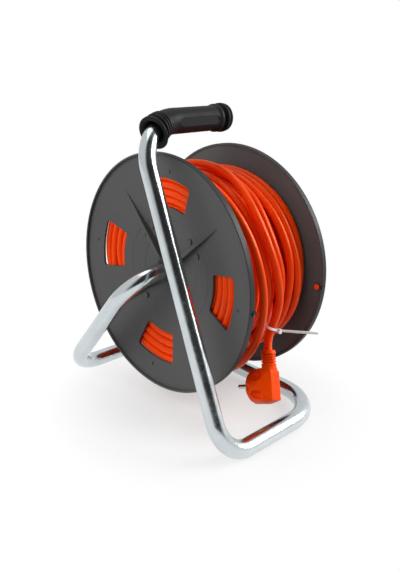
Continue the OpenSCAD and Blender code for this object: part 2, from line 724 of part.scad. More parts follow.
module plug_body() {
  color("orangered") placed() at_plug() difference() {
    union() {
      // Round front with its chamfered face.
      translate([0, 0, -face_drop]) rotate([-90, 0, 0]) {
        translate([0, 0, face_y - 18]) cylinder(h = 16, r = plug_r);
        translate([0, 0, face_y - 2]) cylinder(h = 2, r1 = plug_r, r2 = plug_r - 1.5);
      }
      // Back that narrows to the finger grip.
      hull() {
        translate([0, face_y - 18, -face_drop]) rotate([90, 0, 0]) cylinder(h = 1, r = plug_r, $fn = 32);
        translate([-7.5, face_y - plug_depth, -face_drop - plug_r + 4]) cube([15, 3, plug_d - 6]);
      }
      // Neck up to the strain relief.
      hull() {
        translate([0, 0, -relief_l - 0.5]) cylinder(h = 0.5, r = relief_d / 2, $fn = 32);
        translate([-11, face_y - plug_depth + 2, -face_drop + 6]) cube([22, 18, 2]);
      }
    }
    // Guide notches at both ends of the line of pins.
    for (s = [-1, 1]) translate([s * (plug_r + 1) - 3, face_y - 14, -face_drop - 3.5]) cube([6, 15, 7]);
    // Seats of the earth plates.
    for (s = [-1, 1]) translate([-3.6, face_y - 13, -face_drop + s * (plug_r - 0.9) - 1.1]) cube([7.2, 14, 2.2]);
    // Blind holes that hold the pins.
    for (s = [-1, 1]) translate([s * contact_pitch / 2, face_y + 1, -face_drop]) rotate([90, 0, 0])
      cylinder(h = 12, r = pin_root_r + 0.02);
    // Finger hollows on both sides of the body.
    for (s = [-1, 1], t = [-1, 1]) translate([s * (plug_r + 7), face_y - 17, -face_drop + t * 13])
      rotate([90, 0, 0]) translate([0, 0, -9]) cylinder(h = 18, r = 11);
  }
}

module strain_relief() {
  r = relief_d / 2;
  color("orangered") placed() at_plug() translate([0, 0, -relief_l]) rotate_extrude() polygon([
      [0, 0], [r, 0], [r, 2.6], [r - 1.6, 2.6], [r - 1.6, 3.8], [r, 3.8],
      [r, 6.4], [r - 1.6, 6.4], [r - 1.6, 7.6], [r - 0.1, 7.6],
      [r - 0.1, 10.2], [r - 1.6, 10.2], [r - 1.6, 11.4], [r - 0.2, 11.4],
      [r - 0.2, 14], [r - 1.6, 14], [r - 1.6, 15.2], [r - 0.3, 15.2], [r - 0.3, relief_l - 0.6],
      [r - 0.9, relief_l], [0, relief_l],
    ]);
}

module plug_pins() {
  color("silver") placed() at_plug() for (s = [-1, 1])
    translate([s * contact_pitch / 2, face_y, -face_drop]) rotate([-90, 0, 0]) union() {
      translate([0, 0, -10.5]) cylinder(h = 11, r = pin_root_r);
      translate([0, 0, 0.02]) cylinder(h = plug_pin_l - pin_tip, r = plug_pin_d / 2);
      translate([0, 0, plug_pin_l - pin_tip]) cylinder(h = pin_tip, r1 = plug_pin_d / 2, r2 = plug_pin_d / 2 - 1);
    }
}

module plug_earth_plates() {
  color("gold") placed() at_plug() for (s = [-1, 1])
    translate([-3.5, face_y - 12.8, -face_drop + s * (plug_r - 0.9) - 0.9]) cube([7, 12.6, 1.8]);
}

// Cable tie round the hanging cord: band, head and tail.
tie_at = [72.5, -118.5, -53];
tie_slack = 7;
tie_tail = 46;
module tie_loop(r, h) {
  linear_extrude(height = h, center = true) union() {
    circle(r = r);
    translate([-tie_slack, -r]) square([tie_slack, 2 * r]);
    translate([-tie_slack, 0]) circle(r = r);
  }
}

module cable_tie() {
  inner = cord_d / 2 + soft_gap;
  band = 1.2;
  width = 2.6;
  color("white") placed() translate(tie_at) union() {
    rotate([0, 24, 0]) rotate([11, 0, 0]) {
      difference() {
        tie_loop(inner + band, width);
        tie_loop(inner, width + 2);
      }
      translate([4.2, -inner - band - 2.2, -2.4]) cube([5.4, 4.6, 4.8]);
    }
    translate([4.8, -6, -4.4]) rotate([0, 5, -40]) cube([tie_tail, 1.2, width]);
  }
}

frame_tube();
hand_grip();
stop_collar();
axle_washer();
axle_split_pin();
axle_end_cap();
front_flange();
back_flange();
barrel();
flange_pins();
hub_sleeve();
socket_panel();
socket_wells();
earth_springs();
panel_screws();
button_bezel();
reset_button();
knob_pin();
winding_knob();
knob_cap();
rim_clips();
rim_rivet();
cable_core();
cord_winding();
cord_lead();
plug_body();
strain_relief();
plug_pins();
plug_earth_plates();
cable_tie();
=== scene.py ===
"""Dresses the solids of an extension cord reel: a zinc plated tube frame with a rubber
grip, a moulded drum with its wound cord, and the plug on the cord's free end."""

import json
from math import cos, degrees, pi, radians, sin, sqrt, tau

import bmesh
import bpy
from mathutils import Matrix, Vector


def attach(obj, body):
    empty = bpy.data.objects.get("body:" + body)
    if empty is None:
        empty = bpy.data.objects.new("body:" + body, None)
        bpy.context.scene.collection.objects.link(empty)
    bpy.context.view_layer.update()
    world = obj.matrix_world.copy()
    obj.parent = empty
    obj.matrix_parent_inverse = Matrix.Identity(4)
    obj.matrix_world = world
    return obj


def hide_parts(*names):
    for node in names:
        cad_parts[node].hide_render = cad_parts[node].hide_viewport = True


bl_info = {
    "name": "Extension Cord Reel",
    "version": (1, 0, 0),
    "blender": (4, 5, 0),
    "location": "3D View > Sidebar > Cord Reel",
    "description": "Builds the look of a cord reel: tube frame, drum, wound cord and plug",
    "category": "Add Mesh",
}

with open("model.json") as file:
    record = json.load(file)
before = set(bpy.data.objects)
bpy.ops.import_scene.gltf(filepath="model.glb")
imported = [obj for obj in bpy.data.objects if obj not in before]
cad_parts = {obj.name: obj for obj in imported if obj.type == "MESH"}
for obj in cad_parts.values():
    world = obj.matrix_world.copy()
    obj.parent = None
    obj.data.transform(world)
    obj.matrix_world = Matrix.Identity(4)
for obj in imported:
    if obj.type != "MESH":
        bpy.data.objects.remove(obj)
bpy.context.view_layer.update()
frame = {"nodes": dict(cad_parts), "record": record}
NODES = frame["nodes"]
MM = 0.001

# The drum's frame (X along the axis, zero at the front edge) in the floor frame.
SHIFT = Vector((-64.0, 7.0, 168.5))


def at(x, y, z):
    """A point in the drum's frame, in millimetres, as a point on the floor frame in metres."""
    return (Vector((x, y, z)) + SHIFT) * MM


def linear(code):
    """An sRGB hex colour as linear red, green, blue and alpha."""
    rgb = [int(code[i : i + 2], 16) / 255 for i in (1, 3, 5)]
    return [c / 12.92 if c <= 0.04045 else ((c + 0.055) / 1.055) ** 2.4 for c in rgb] + [1.0]


# ---------------------------------------------------------------- sizes and colours


def length(name, text, value):
    """A size in the panel, given here in millimetres."""
    return bpy.props.FloatProperty(
        name=name, description=text, default=value * MM, unit="LENGTH", subtype="DISTANCE"
    )


def shade(name, text, code):
    """A colour in the panel, given here as an sRGB hex code."""
    return bpy.props.FloatVectorProperty(
        name=name, description=text, default=linear(code), subtype="COLOR", size=4, min=0, max=1
    )


class ReelSizes(bpy.types.PropertyGroup):
    tube_d: length("Tube", "Outer diameter of the frame tube", 20.0)
    grip_d: length("Grip", "Outer diameter of the rubber grip", 31.0)
    cord_d: length("Cord", "Outer diameter of the cord", 9.6)
    winding_r: length("Winding", "Radius of the outer layer, to the cord's centre", 114.0)
    layer_pitch: length("Layer pitch", "Distance between two layers of cord", 9.5)
    loop_pitch: length("Loop pitch", "Least distance between two turns of an inner layer", 9.8)


class ReelColours(bpy.types.PropertyGroup):
    zinc: shade("Zinc", "Plated tube", "#D3DADD")
    rubber: shade("Rubber", "Hand grip", "#131313")
    drum: shade("Drum", "Moulded flanges", "#4D4D4D")
    fitting: shade("Fittings", "Black moulded pieces", "#1B1B1C")
    cord: shade("Cord", "Sheath of the cord", "#F23F00")
    plug: shade("Plug", "Moulded plug", "#F24402")
    nylon: shade("Cable tie", "Natural nylon", "#F1F0EC")
    steel: shade("Steel", "Pins and screws", "#B9B9B6")
    nickel: shade("Nickel", "Plug pins", "#C4BFB4")
    brass: shade("Brass", "Earth contacts", "#C9A45A")
    button: shade("Button", "Reset button", "#A81E14")


# ------------------------------------------------------------------------ materials


def add_node(tree, kind, inputs=None, **settings):
    """Adds a node, sets its own settings, and fills or links its inputs."""
    made = tree.nodes.new("ShaderNode" + kind)
    for name, value in settings.items():
        setattr(made, name, value)
    for name, value in (inputs or {}).items():
        if isinstance(value, bpy.types.NodeSocket):
            tree.links.new(value, made.inputs[name])
        else:
            made.inputs[name].default_value = value
    return made


def start_material(name):
    """A new material's tree with its shader, its output and the object's coordinates."""
    made = bpy.data.materials.new(name)
    made.use_nodes = True
    tree = made.node_tree
    tree.nodes.clear()
    shader = add_node(tree, "BsdfPrincipled")
    add_node(tree, "OutputMaterial", {"Surface": shader.outputs[0]})
    place = add_node(tree, "TexCoord").outputs["Object"]
    return made, tree, shader, place


def noise(tree, place, size_mm, detail=2.0, rough=0.5):
    """A noise that repeats about every so many millimetres."""
    found = add_node(
        tree,
        "TexNoise",
        {"Vector": place, "Scale": 1000.0 / size_mm, "Detail": detail, "Roughness": rough},
    )
    return found.outputs["Fac"]


def spread(tree, value, low, high, out_low, out_high):
    """Carries a value's range from low to high over to another range."""
    found = add_node(
        tree,
        "MapRange",
        {"Value": value, "From Min": low, "From Max": high, "To Min": out_low, "To Max": out_high},
    )
    return found.outputs["Result"]


def plain_math(tree, operation, a, b):
    return add_node(tree, "Math", {0: a, 1: b}, operation=operation).outputs[0]


def vector_math(tree, operation, *values):
    return add_node(tree, "VectorMath", dict(enumerate(values)), operation=operation)


def blend_colours(tree, factor, a, b):
    return add_node(tree, "Mix", {0: factor, 6: a, 7: b}, data_type="RGBA").outputs[2]


def blend_shaders(tree, factor, a, b):
    return add_node(tree, "MixShader", {0: factor, 1: a.outputs[0], 2: b.outputs[0]})


def dim(colour, k):
    """A colour made darker, or lighter where k is above one."""
    return [c * k for c in colour[:3]] + [1.0]


def paint(tree, shader, pattern, low, high, a, b):
    """Colours a surface from a to b as a pattern rises from low to high."""
    tint = blend_colours(tree, spread(tree, pattern, low, high, 0, 1), a, b)
    tree.links.new(tint, shader.inputs["Base Color"])
    return tint


def polish(tree, shader, pattern, smooth, rough):
    """Lets a pattern carry the roughness from smooth to rough, and gives its socket."""
    found = spread(tree, pattern, 0.3, 0.7, smooth, rough)
    tree.links.new(found, shader.inputs["Roughness"])
    return found


def roughen(tree, shader, base, pattern, less, more):
    """Adds a second, finer pattern to the roughness."""
    total = plain_math(tree, "ADD", base, spread(tree, pattern, 0.3, 0.7, less, more))
    tree.links.new(total, shader.inputs["Roughness"])


def bump(tree, shader, height, depth_mm, strength, before=None):
    """Raises a surface by a pattern, on top of an earlier bump if there is one."""
    found = add_node(
        tree, "Bump", {"Height": height, "Distance": depth_mm * MM, "Strength": strength}
    )
    if before is not None:
        tree.links.new(before, found.inputs["Normal"])
    tree.links.new(found.outputs[0], shader.inputs["Normal"])
    return found.outputs[0]


def zinc_plating(name, colour):
    """Bright zinc on drawn steel tube: a hard mirror with soft cloudy patches of haze."""
    made, tree, shader, place = start_material(name)
    cloud = noise(tree, place, 26, detail=4, rough=0.6)
    paint(tree, shader, cloud, 0.35, 0.65, dim(colour, 0.9), colour)
    shader.inputs["Metallic"].default_value = 1.0
    fine = noise(tree, place, 3.2, detail=3, rough=0.6)
    haze = polish(tree, shader, cloud, 0.13, 0.24)
    roughen(tree, shader, haze, fine, -0.02, 0.05)
    # The drawn surface is not quite true: long shallow waves, and fine grit of the plating.
    wave = bump(tree, shader, noise(tree, place, 45, detail=1, rough=0.4), 0.35, 0.35)
    bump(tree, shader, fine, 0.02, 0.5, before=wave)
    return made


# Painted shade on a flange's rolled edge: its colour turns dark between these distances from
# the axle, in millimetres, down to a share of its colour.
RIM_SHADE_FROM, RIM_SHADE_TO = 144.0, 144.8
RIM_SHADE_SHARE = 0.3


def moulded(
    name, colour, rough=0.48, grain_mm=0.9, depth_mm=0.035, mottle=0.06, gleam=0.3,
    tint="#FFFFFF", shaded_rim=False,
):
    """Injection moulded plastic: an even colour with a fine spark-eroded grain, and a
    gloss that varies a little with the flow of the melt. A flange's rolled edge can
    be darkened with painted shade."""
    made, tree, shader, place = start_material(name)
    flow = noise(tree, place, 60, detail=3, rough=0.55)
    even = paint(tree, shader, flow, 0.3, 0.7, dim(colour, 1 - mottle), dim(colour, 1 + mottle))
    # Painted shade: the outer side of a flange's rim is darkened beyond a distance from the axle.
    if shaded_rim:
        axle = (0, SHIFT.y * MM, SHIFT.z * MM)
        across = vector_math(tree, "MULTIPLY", place, (0, 1, 1)).outputs["Vector"]
        reach = vector_math(tree, "DISTANCE", across, axle).outputs["Value"]
        rim_shade = spread(tree, reach, RIM_SHADE_FROM * MM, RIM_SHADE_TO * MM, 0, 1)
        both = blend_colours(tree, rim_shade, even, dim(colour, RIM_SHADE_SHARE))
        tree.links.new(both, shader.inputs["Base Color"])
    shader.inputs["IOR"].default_value = 1.5
    shader.inputs["Specular IOR Level"].default_value = gleam
    shader.inputs["Specular Tint"].default_value = linear(tint)
    grain = noise(tree, place, grain_mm)
    gloss = polish(tree, shader, flow, rough - 0.05, rough + 0.05)
    roughen(tree, shader, gloss, grain, -0.03, 0.03)
    bump(tree, shader, grain, depth_mm, 0.6)
    return made


def rubber_grip(name, colour):
    """Moulded rubber: near black, dull, with a pebbled grain and a dusty bloom."""
    made, tree, shader, place = start_material(name)
    bloom = noise(tree, place, 14, detail=4, rough=0.6)
    paint(tree, shader, bloom, 0.4, 0.75, colour, dim(colour, 1.7))
    polish(tree, shader, bloom, 0.46, 0.62)
    shader.inputs["IOR"].default_value = 1.52
    shader.inputs["Specular IOR Level"].default_value = 0.14
    # Grain of 1.1 mm, drawn a little coarser than real so that it shows.
    bump(tree, shader, noise(tree, place, 1.1), 0.06, 0.6)
    return made


def cord_sheath(name, colour):
    """Soft PVC sheath: saturated, with a waxy gloss and the slight unevenness that the
    twisted cores give it."""
    made, tree, shader, place = start_material(name)
    scuff = noise(tree, place, 22, detail=4, rough=0.6)
    paint(tree, shader, scuff, 0.35, 0.7, dim(colour, 0.93), colour)
    polish(tree, shader, scuff, 0.32, 0.44)
    shader.inputs["IOR"].default_value = 1.53
    shader.inputs["Specular IOR Level"].default_value = 0.5
    shader.inputs["Specular Tint"].default_value = linear("#FFC478")
    bump(tree, shader, noise(tree, place, 7), 0.16, 0.4)
    return made


def plain_metal(name, colour, rough):
    """Small plated or stamped metal: clean, with fine scratches of handling."""
    made, tree, shader, place = start_material(name)
    scratch = noise(tree, place, 1.5, detail=4, rough=0.7)
    paint(tree, shader, scratch, 0.3, 0.7, dim(colour, 0.85), colour)
    shader.inputs["Metallic"].default_value = 1.0
    polish(tree, shader, scratch, rough - 0.06, rough + 0.08)
    bump(tree, shader, scratch, 0.02, 0.4)
    return made


def nylon(name, colour):
    """Natural nylon: milky, a little light passes through it."""
    made, tree, shader, place = start_material(name)
    cloud = noise(tree, place, 6)
    paint(tree, shader, cloud, 0.3, 0.7, dim(colour, 0.95), colour)
    polish(tree, shader, cloud, 0.3, 0.4)
    shader.inputs["Subsurface Weight"].default_value = 0.3
    shader.inputs["Subsurface Radius"].default_value = (0.002, 0.002, 0.002)
    return made


FINISHES = {}


def make_finishes(colours):
    """All finishes, one for each slot of the record that a piece uses."""
    FINISHES.update(
        zinc_tube=zinc_plating("Bright Zinc Plating", colours.zinc),
        grip_rubber=rubber_grip("Moulded Rubber", colours.rubber),
        # The flanges' rims get painted shade.
        grey_plastic=moulded("Grey Polypropylene", colours.drum, gleam=0.22, shaded_rim=True),
        black_plastic=moulded(
            "Black Nylon Moulding", colours.fitting, rough=0.42, grain_mm=0.8, depth_mm=0.03
        ),
        cord_orange=cord_sheath("PVC Cord Sheath", colours.cord),
        plug_orange=moulded(
            "Orange PVC Moulding", colours.plug, rough=0.42, grain_mm=0.7, depth_mm=0.03,
            mottle=0.04, gleam=0.35, tint="#FFB060",
        ),
        red_plastic=moulded("Red Gloss Moulding", colours.button, rough=0.25, depth_mm=0.01),
        steel=plain_metal("Zinc Plated Steel", colours.steel, rough=0.32),
        nickel=plain_metal("Nickel Plate", colours.nickel, rough=0.22),
        brass=plain_metal("Spring Brass", colours.brass, rough=0.28),
        white_nylon=nylon("Natural Nylon", colours.nylon),
    )


# -------------------------------------------------------------------- mesh building


def place_piece(name, data, body, slot, nodes):
    """Puts a piece in the scene with its finish, on its body, for the nodes it replaces."""
    piece = bpy.data.objects.new(name, data)
    bpy.context.scene.collection.objects.link(piece)
    data.materials.append(FINISHES[slot])
    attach(piece, body)
    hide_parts(*nodes)
    return piece


def mesh_from(bm, name):
    """Turns a bmesh to a mesh whose faces look outwards."""
    bmesh.ops.recalc_face_normals(bm, faces=bm.faces)
    mesh = bpy.data.meshes.new(name)
    bm.to_mesh(mesh)
    bm.free()
    return mesh


def finish_piece(name, bm, body, slot, nodes, angle=38):
    """Turns a bmesh to a smooth shaded piece that rides on its body."""
    bmesh.ops.remove_doubles(bm, verts=bm.verts, dist=1e-6)
    mesh = mesh_from(bm, name)
    mesh.shade_smooth()
    mesh.set_sharp_from_angle(angle=radians(angle))
    return place_piece(name, mesh, body, slot, nodes)


def ring_of(bm, matrix, radius, sides):
    """An open ring of edges, square to a matrix's Z."""
    made = bmesh.ops.create_circle(
        bm, cap_ends=False, segments=sides, radius=radius, matrix=matrix
    )
    verts = made["verts"]
    edges = list(dict.fromkeys(e for v in verts for e in v.link_edges))
    return verts, edges


def ring_in(geom):
    """The new ring's vertices and edges in what an operator made."""
    verts = [g for g in geom if isinstance(g, bmesh.types.BMVert)]
    new = set(verts)
    edges = [g for g in geom if isinstance(g, bmesh.types.BMEdge) and new.issuperset(g.verts)]
    return verts, edges


def next_ring(bm, edges, step):
    """Extrudes an open ring of edges and carries the new ring on by a matrix."""
    verts, edges = ring_in(bmesh.ops.extrude_edge_only(bm, edges=edges)["geom"])
    bmesh.ops.transform(bm, matrix=step, verts=verts)
    return verts, edges


def close_ring(bm, edges):
    bmesh.ops.edgeloop_fill(bm, edges=edges)


def aim(point, way, side):
    """A matrix at a point whose Z looks along a way, with Y as near to side as it can be."""
    z = Vector(way).normalized()
    x = Vector(side).cross(z).normalized()
    y = z.cross(x)
    return Matrix.Translation(point) @ Matrix((x, y, z)).transposed().to_4x4()


def lathe(bm, profile, matrix, steps=64):
    """Spins a profile of (radius, height) pairs in millimetres round a matrix's Z."""
    verts = [bm.verts.new((r * MM, 0, h * MM)) for r, h in profile]
    edges = [bm.edges.new(pair) for pair in zip(verts, verts[1:])]
    bmesh.ops.spin(
        bm, geom=verts + edges, cent=(0, 0, 0), axis=(0, 0, 1), angle=tau, steps=steps,
        use_merge=True,
    )
    bmesh.ops.transform(bm, matrix=matrix, verts=bm.verts)


# ---------------------------------------------------------------------------- stage

# The view: its size and its middle in pixels, the lens in pixels, the sensor's height, the
# eye in the drum's frame, and the turns of the view in radians.
PICTURE = (400, 570)
MIDDLE = (160.8, 169.6)
LENS = 679.7
SENSOR = 36
EYE = (-526.4, -581.3, 256.3)
YAW, DOWN, ROLL = 0.831, 0.166, 0.00834

# Place, size and power of each lamp, and whether polished metal shows it. The left one
# lights the flange and leaves no hard streak on the tube.
SOFTBOXES = {
    "Left Softbox": ((-1.6, 0.3, 0.95), (1.8, 1.6), 33, False),
    "Right Softbox": ((1.26, -1.16, 1.0), (1.1, 1.0), 42, True),
    "Top Softbox": ((0.1, 0.3, 1.9), (1.5, 1.5), 9, True),
}
LIT_POINT = Vector((0, 0, 0.15))

# What polished metal sees: white all round but for a dark gap beside the view, which fades
# in between two cosines of the angle from its middle.
GAP_WAY = (-0.383, -0.924, 0.0)
GAP_FADE = (0.45, 0.80)
STUDIO_WHITE, STUDIO_DARK = 0.95, 0.04
AMBIENT = 0.11

# The floor: half its width, and where it runs out into the white of the background, as two
# distances from a point under the drum.
FLOOR_HALF = 6
UNDER_DRUM = (-0.01, -0.03, 0)
FLOOR_FADE = (0.05, 0.20)
FLOOR_GLOW = 0.44
FLOOR_TINTS = ("#A9A8A7", "#ADACAB")


class REEL_OT_stage(bpy.types.Operator):
    """Sets the camera, the soft studio light and the pale floor"""

    bl_idname = "reel.stage"
    bl_label = "Stage"

    def execute(self, context):
        scene = context.scene
        self.camera(scene)
        scene.view_settings.view_transform = "Standard"
        self.lights(scene)
        self.world(scene)
        self.floor(scene)
        return {"FINISHED"}

    def camera(self, scene):
        data = bpy.data.cameras.new("View")
        wide, high = PICTURE
        data.sensor_fit = "VERTICAL"
        data.sensor_height = SENSOR
        data.lens = LENS * SENSOR / high
        data.shift_x = (wide / 2 - MIDDLE[0]) / high
        data.shift_y = (MIDDLE[1] - high / 2) / high
        data.clip_end = 50
        camera = bpy.data.objects.new("View", data)
        scene.collection.objects.link(camera)
        look = Vector((cos(YAW) * cos(DOWN), sin(YAW) * cos(DOWN), -sin(DOWN)))
        level = Vector((sin(YAW), -cos(YAW), 0))
        up = level.cross(look)
        right = level * cos(ROLL) + up * sin(ROLL)
        top = up * cos(ROLL) - level * sin(ROLL)
        turn = Matrix((right, top, -look)).transposed().to_4x4()
        camera.matrix_world = Matrix.Translation(at(*EYE)) @ turn
        scene.camera = camera

    def lights(self, scene):
        for name, (place, size, power, gleams) in SOFTBOXES.items():
            data = bpy.data.lights.new(name, "AREA")
            data.shape = "RECTANGLE"
            data.size, data.size_y = size
            data.energy = power
            lamp = bpy.data.objects.new(name, data)
            lamp.visible_glossy = gleams
            scene.collection.objects.link(lamp)
            turn = (LIT_POINT - Vector(place)).to_track_quat("-Z", "Y").to_matrix().to_4x4()
            lamp.matrix_world = Matrix.Translation(place) @ turn

    def world(self, scene):
        world = bpy.data.worlds.new("Studio")
        scene.world = world
        world.use_nodes = True
        tree = world.node_tree
        tree.nodes.clear()
        path = add_node(tree, "LightPath").outputs
        way = add_node(tree, "TexCoord").outputs["Generated"]
        level = vector_math(tree, "MULTIPLY", way, (1, 1, 0)).outputs["Vector"]
        level = vector_math(tree, "NORMALIZE", level).outputs["Vector"]
        toward = vector_math(tree, "DOT_PRODUCT", level, GAP_WAY).outputs["Value"]
        dark = spread(tree, toward, *GAP_FADE, STUDIO_WHITE, STUDIO_DARK)
        mirrored = add_node(tree, "Background", {"Strength": dark})
        soft = add_node(tree, "Background", {"Color": linear("#F7F8FA"), "Strength": AMBIENT})
        plain = add_node(tree, "Background", {"Color": (1, 1, 1, 1), "Strength": 1.0})
        light = blend_shaders(tree, path["Is Glossy Ray"], soft, mirrored)
        seen = blend_shaders(tree, path["Is Camera Ray"], light, plain)
        add_node(tree, "OutputWorld", {"Surface": seen.outputs[0]})

    def floor(self, scene):
        bm = bmesh.new()
        bmesh.ops.create_grid(bm, x_segments=8, y_segments=8, size=FLOOR_HALF)
        mesh = bpy.data.meshes.new("Floor")
        bm.to_mesh(mesh)
        bm.free()
        floor = bpy.data.objects.new("Floor", mesh)
        scene.collection.objects.link(floor)
        made, tree, shader, place = start_material("Pale Floor")
        grey, pale = (linear(code) for code in FLOOR_TINTS)
        paint(tree, shader, noise(tree, place, 300), 0.3, 0.7, grey, pale)
        shader.inputs["Roughness"].default_value = 0.55
        # Only the view and its reflections see the white that the floor runs out into.
        path = add_node(tree, "LightPath").outputs
        shown = plain_math(tree, "MAXIMUM", path["Is Camera Ray"], path["Is Glossy Ray"])
        reach = vector_math(tree, "DISTANCE", place, UNDER_DRUM).outputs["Value"]
        far = plain_math(tree, "MULTIPLY", spread(tree, reach, *FLOOR_FADE, 0.0, 1.0), shown)
        white = add_node(tree, "Emission", {"Color": (1, 1, 1, 1), "Strength": 1.0})
        both = blend_shaders(tree, far, shader, white)
        tree.links.new(both.outputs[0], tree.nodes["Material Output"].inputs["Surface"])
        shader.inputs["Emission Color"].default_value = (1, 1, 1, 1)
        glow = spread(tree, shown, 0, 1, 0, FLOOR_GLOW)
        tree.links.new(glow, shader.inputs["Emission Strength"])
        mesh.materials.append(made)


# ---------------------------------------------------------------- frame tube and grip

# Corners of the tube's centre line and the radius of the bend at each.
CORNERS = [
    (98, -8, 181.5), (-39, -8, 181.5), (-39, -149, -158.5), (136.5, -149, -158.5),
    (136.5, 131.5, -158.5), (-39, 131.5, -158.5), (-39, 0, 0), (100, 0, 0),
]
BENDS = [0, 54, 37, 60, 53, 53, 50, 0]
TUBE_SIDES = 48
BEND_STEPS = 30


def heading(i):
    """The tube's direction from one corner to the next."""
    return (Vector(CORNERS[i + 1]) - Vector(CORNERS[i])).normalized()


def bend_centre(i):
    """The centre and axis of a bend. All corners are square, so the sweep is a quarter turn."""
    a, b = heading(i - 1), heading(i)
    corner = Vector(CORNERS[i])
    centre = corner - a * BENDS[i] + b * BENDS[i]
    return centre, a.cross(b)


class REEL_OT_frame_tube(bpy.types.Operator):
    """Bends the frame tube: straight runs are extruded and bends are spun"""

    bl_idname = "reel.frame_tube"
    bl_label = "Frame Tube"

    def execute(self, context):
        radius = context.scene.reel_sizes.tube_d / 2
        bm = bmesh.new()
        start = aim(at(*CORNERS[0]), heading(0), (0, 0, 1))
        verts, edges = ring_of(bm, start, radius, TUBE_SIDES)
        close_ring(bm, edges)
        last = len(CORNERS) - 2
        for i in range(last + 1):
            here = Vector(CORNERS[i]) + heading(i) * BENDS[i]
            to = Vector(CORNERS[i + 1]) - heading(i) * BENDS[i + 1]
            verts, edges = next_ring(bm, edges, Matrix.Translation((to - here) * MM))
            if i < last:
                centre, axis = bend_centre(i + 1)
                made = bmesh.ops.spin(
                    bm, geom=verts + edges, cent=at(*centre), axis=axis, angle=radians(90),
                    steps=BEND_STEPS,
                )
                verts, edges = ring_in(made["geom_last"])
        close_ring(bm, edges)
        finish_piece("frame_tube_plated", bm, "frame", "zinc_tube", ["frame_tube"])
        return {"FINISHED"}


# The grip on the tube's first run: where it starts and ends, and its plain radius.
GRIP_START = 15.0
GRIP_END = 103.0
GRIP_R = 15.5
GRIP_SIDES = 96
# The grip's outline from its closed end: distance along it and radius.
GRIP_OUTLINE = [
    (0, 12.4), (0.3, 13.6), (1.0, 15.8), (2.2, 17.2), (3.6, 17.6), (4.6, 17.3), (5.0, 16.4),
    (5.8, 16.2), (6.3, 17.4), (7.0, 18.1), (9.6, 18.1), (10.4, 17.6), (10.9, 15.8),
    (11.4, 13.8), (12.0, 13.3), (14.6, 13.3), (15.1, 14.2), (15.6, 16.0), (16.4, 17.0),
    (17.8, 17.4), (19.8, 17.3), (21.2, 16.6), (22.6, 15.8), (24, 15.5),
]
RINGS_L = GRIP_OUTLINE[-1][0]
# Round the bend, from the body to the mouth and into it: distance from the mouth and radius.
MOUTH_OUTLINE = [
    (34, 15.5), (28, 15.5), (22, 15.5), (19.2, 15.6), (18.7, 16.6), (18.0, 16.9), (16.9, 16.8),
    (16.3, 16.0), (15.7, 15.9), (15.2, 16.9), (14.5, 17.5), (12.9, 17.6), (12.3, 17.0),
    (11.9, 16.2), (11.3, 16.1), (10.9, 17.3), (10.2, 18.2), (8.4, 18.4), (7.7, 17.8),
    (7.3, 16.3), (6.6, 15.8), (5.0, 15.8), (4.2, 16.6), (3.6, 18.6), (2.8, 19.8), (1.0, 20.3),
    (0.2, 19.9), (0, 19.0), (0.2, 17.2), (0.8, 15.6), (2.0, 14.0), (4, 12.6), (8, 11.4),
    (14, 10.4),
]
# The mouth's angle round the bend, and how far it leans back from square to the tube. The
# lean begins at one distance from the mouth and is full after another.
MOUTH_AT = 40.0
MOUTH_LEAN = 16.0
LEAN_FROM, LEAN_OVER = 26, 22
# The plain panel: half its length without its round ends, their radius, its depth, and the
# width and height of its rim.
PANEL_HALF, PANEL_R, PANEL_DEPTH = 26, 5.4, 0.95
PANEL_RIM_WIDE, PANEL_RIM_HIGH = 1.3, 0.35
# Only what is this far out from the tube's axis can be moved by the panel.
PANEL_SIDE = 8


